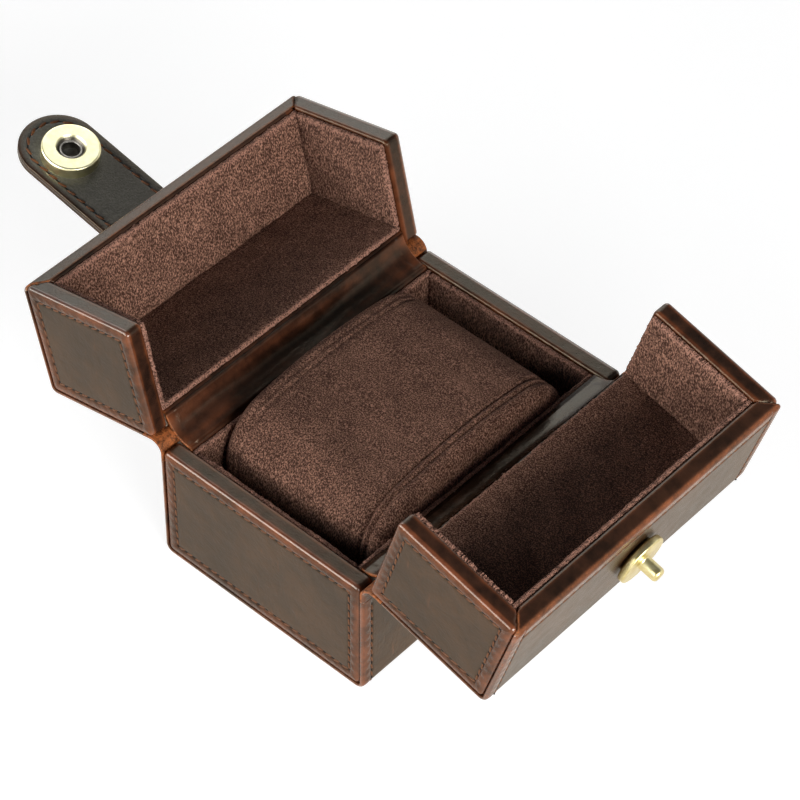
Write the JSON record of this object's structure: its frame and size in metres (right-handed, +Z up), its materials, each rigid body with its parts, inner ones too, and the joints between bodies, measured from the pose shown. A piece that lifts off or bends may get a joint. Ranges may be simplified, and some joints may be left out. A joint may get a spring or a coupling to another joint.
{
  "type": "watch storage case",
  "caption": "Leather covered watch case with a suede lined tray, a lift-out pillow, wing lids on leather hinges and a strap with a magnetic snap, shown open.",
  "frame": {"origin": "middle of the tray's flat underside", "axes": "+X across the case towards the lid that carries the stud, +Y along the case's length, +Z up"},
  "size_m": [0.2457, 0.112, 0.0817],
  "materials": {
    "leather": "waxed dark brown",
    "suede": "napped brown suede",
    "board": "raw board",
    "foam": "open foam",
    "snap_brass": "brushed pale brass",
    "snap_steel": "nickel plated"
  },
  "bodies": {
    "tray": {"left_hinge_leather": "leather", "left_hinge_strip": "leather", "right_hinge_leather": "leather", "right_hinge_strip": "leather", "tray_floor_board": "board", "tray_floor_lining": "suede", "tray_front_board": "board", "tray_front_cover": "leather", "tray_front_lining": "suede", "tray_left_board": "board", "tray_left_lining": "suede", "tray_rear_board": "board", "tray_rear_cover": "leather", "tray_rear_lining": "suede", "tray_right_board": "board", "tray_right_lining": "suede", "tray_wrap": "leather"},
    "pillow": {"pillow_band": "suede", "pillow_foam": "foam", "pillow_left_cap": "suede", "pillow_right_cap": "suede"},
    "left_lid": {"left_lid_cover": "leather", "left_lid_front_board": "board", "left_lid_front_cover": "leather", "left_lid_front_lining": "suede", "left_lid_rear_board": "board", "left_lid_rear_cover": "leather", "left_lid_rear_lining": "suede", "left_lid_side_board": "board", "left_lid_side_lining": "suede", "left_lid_top_board": "board", "left_lid_top_lining": "suede", "strap_root": "leather", "strap_bend": "leather"},
    "right_lid": {"right_lid_cover": "leather", "right_lid_front_board": "board", "right_lid_front_cover": "leather", "right_lid_front_lining": "suede", "right_lid_rear_board": "board", "right_lid_rear_cover": "leather", "right_lid_rear_lining": "suede", "right_lid_side_board": "board", "right_lid_side_lining": "suede", "right_lid_top_board": "board", "right_lid_top_lining": "suede", "snap_stud": "snap_brass", "snap_stud_plate": "snap_steel"},
    "strap": {"strap_inner_leather": "leather", "strap_outer_leather": "leather", "snap_cup": "snap_brass", "snap_magnet": "snap_steel", "snap_eyelet": "snap_steel", "snap_cup_plate": "snap_steel"}
  },
  "joints": [
    {"name": "left_lid_hinge", "type": "hinge", "parent": "tray", "child": "left_lid", "pos_m": [-0.0396, 0, 0.0441], "axis": [0, -1, 0], "range_deg": [-103, 0], "deforming": ["left_hinge_leather", "left_hinge_strip"]},
    {"name": "right_lid_hinge", "type": "hinge", "parent": "tray", "child": "right_lid", "pos_m": [0.0396, 0, 0.0441], "axis": [0, 1, 0], "range_deg": [-105.5, 0], "deforming": ["right_hinge_leather", "right_hinge_strip"]},
    {"name": "strap_flex", "type": "hinge", "parent": "left_lid", "child": "strap", "pos_m": [-0.08845, 0, 0.04986], "axis": [0, -1, 0], "range_deg": [-53.4, 60], "deforming": ["strap_bend"]},
    {"name": "pillow_lift", "type": "slide", "parent": "tray", "child": "pillow", "axis": [0, 0, 1], "range_m": [0, 0.028]}
  ]
}
